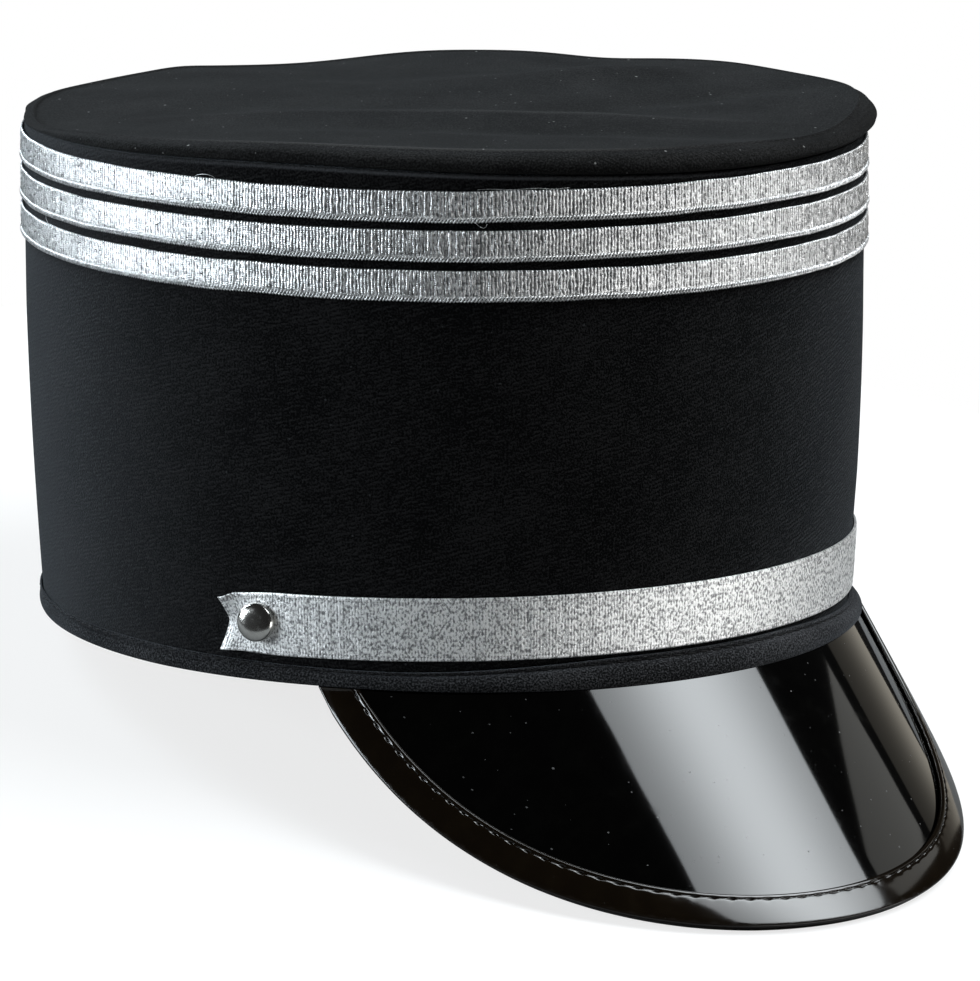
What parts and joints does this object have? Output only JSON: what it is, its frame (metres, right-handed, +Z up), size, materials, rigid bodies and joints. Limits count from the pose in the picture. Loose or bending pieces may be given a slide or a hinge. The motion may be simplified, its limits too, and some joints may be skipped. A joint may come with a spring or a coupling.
{
  "type": "kepi",
  "caption": "Peaked cap with an upright oval cloth crown, ribbon bands, a riveted ribbon strap across the front and a glossy sloping peak, worn on the head.",
  "frame": {"origin": "on the surface that the hat lies on, under the middle of its bounding box", "axes": "+Z up from the surface, the front of the hat towards -Y, the wearer's right towards -X; the crown leans back because the hat rests on its peak and the back of its hem"},
  "size_m": [0.1892, 0.2724, 0.1528],
  "materials": {
    "crown_cloth": "black twill cloth, matt",
    "top_cloth": "black twill cloth, soft and matt",
    "silver_ribbon": "woven metallic ribbon, silver",
    "strap_ribbon": "woven metallic ribbon, silver",
    "rivet_chrome": "polished",
    "hem_cloth": "black twill cloth strip, matt",
    "patent": "black patent, high gloss",
    "patent_binding": "black patent strip, high gloss"
  },
  "bodies": {
    "root": {"crown_wall": "crown_cloth", "top_panel": "top_cloth", "braid_upper": "silver_ribbon", "braid_middle": "silver_ribbon", "braid_lower": "silver_ribbon", "front_strap": "strap_ribbon", "rivet_right": "rivet_chrome", "rivet_left": "rivet_chrome", "hem_binding": "hem_cloth", "peak": "patent", "peak_binding": "patent_binding"}
  },
  "joints": []
}
